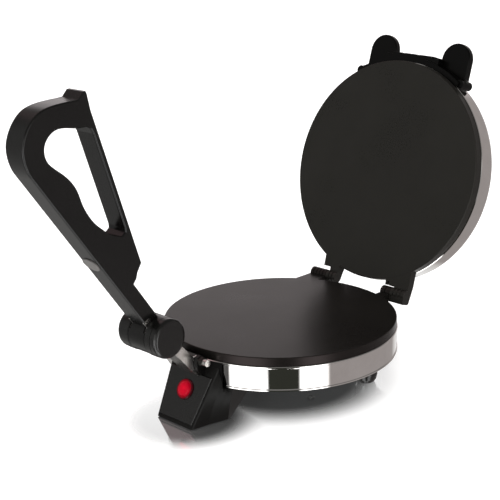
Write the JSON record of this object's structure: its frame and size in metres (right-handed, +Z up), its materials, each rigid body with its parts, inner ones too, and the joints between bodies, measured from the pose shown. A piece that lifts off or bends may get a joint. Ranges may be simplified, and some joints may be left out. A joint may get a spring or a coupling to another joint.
{
  "type": "electric roti maker",
  "caption": "Countertop flatbread press: round hot plates on a rear hinge, a front leg with a pilot lamp, and a pressing lever with rollers and a grip handle.",
  "frame": {"origin": "floor point in the middle of the bounding box of the whole object in its open rest pose", "axes": "+X to the right seen from the lever side, +Y from the lever towards the hinge, +Z up"},
  "size_m": [0.2116, 0.4759, 0.2957],
  "materials": {
    "nonstick_plate": "satin non-stick coating on cast aluminium",
    "polished_steel": "mirror-polished stainless steel sheet",
    "element_sheath": "dull heat-darkened tube",
    "plated_sheet": "plated sheet steel",
    "painted_sheet": "black stove-enamelled sheet steel",
    "fibre_board": "compressed mineral fibre board, matt",
    "white_ceramic": "unglazed steatite",
    "zinc_hardware": "zinc-plated steel",
    "strap_steel": "bright plated steel strap",
    "black_bakelite": "moulded black phenolic, semi-gloss",
    "badge_grey": "plain oval plate, no marks",
    "black_roller": "black phenolic, semi-gloss",
    "red_lens": "translucent red lens",
    "clear_glass": "clear glass envelope",
    "black_rubber": "matt rubber",
    "wire_brown": "silicone insulation",
    "wire_blue": "silicone insulation",
    "wire_green": "silicone insulation"
  },
  "bodies": {
    "base": {"lower_plate": "nonstick_plate", "lower_heating_element": "element_sheath", "lower_clamp_plate": "plated_sheet", "lower_insulation": "fibre_board", "thermostat": "white_ceramic", "thermal_fuse": "zinc_hardware", "base_band": "polished_steel", "bottom_cover": "painted_sheet", "cover_screws": "zinc_hardware", "front_leg": "black_bakelite", "front_fascia": "black_bakelite", "pilot_lamp_lens": "red_lens", "pilot_lamp_clip": "zinc_hardware", "neon_lamp": "clear_glass", "terminal_block": "white_ceramic", "cord_inlet_bush": "black_rubber", "leg_pad": "black_rubber", "leg_screws": "zinc_hardware", "rear_foot_left": "black_bakelite", "rear_foot_right": "black_bakelite", "foot_pads": "black_rubber", "foot_screws": "zinc_hardware", "lever_bracket": "black_bakelite", "bracket_screws": "zinc_hardware", "lever_pivot_bolt": "zinc_hardware", "lever_pivot_nut": "zinc_hardware", "hinge_pin_left": "zinc_hardware", "hinge_pin_right": "zinc_hardware", "base_lead_grommet": "black_rubber", "live_wire": "wire_brown", "earth_wire": "wire_green", "neutral_wire": "wire_blue"},
    "lid": {"upper_plate": "nonstick_plate", "upper_heating_element": "element_sheath", "upper_clamp_plate": "plated_sheet", "upper_insulation": "fibre_board", "lid_shell": "polished_steel", "lid_screws": "zinc_hardware", "lid_lead_grommet": "black_rubber", "ear_bracket": "black_bakelite", "ear_bracket_screws": "zinc_hardware"},
    "lever": {"lever_strap": "strap_steel", "pivot_sleeve": "zinc_hardware", "roller_axle": "zinc_hardware", "axle_clips": "zinc_hardware", "handle": "black_bakelite", "handle_badge": "badge_grey", "handle_rivet": "zinc_hardware"},
    "roller_left_body": {"roller_left": "black_roller", "roller_cap_left": "black_roller"},
    "roller_right_body": {"roller_right": "black_roller", "roller_cap_right": "black_roller"}
  },
  "joints": [
    {"name": "lid_hinge", "type": "hinge", "parent": "base", "child": "lid", "pos_m": [0, 0.1444, 0.0625], "axis": [1, 0, 0], "range_deg": [0, 106.8]},
    {"name": "lever_pivot", "type": "hinge", "parent": "base", "child": "lever", "pos_m": [0, -0.0791, 0.0545], "axis": [-1, 0, 0], "range_deg": [0, 39.5]},
    {"name": "roller_left_spin", "type": "hinge", "parent": "lever", "child": "roller_left_body", "pos_m": [-0.016, -0.1195, 0.0881], "axis": [-1, 0, 0], "continuous": true},
    {"name": "roller_right_spin", "type": "hinge", "parent": "lever", "child": "roller_right_body", "pos_m": [0.016, -0.1195, 0.0881], "axis": [1, 0, 0], "continuous": true}
  ]
}
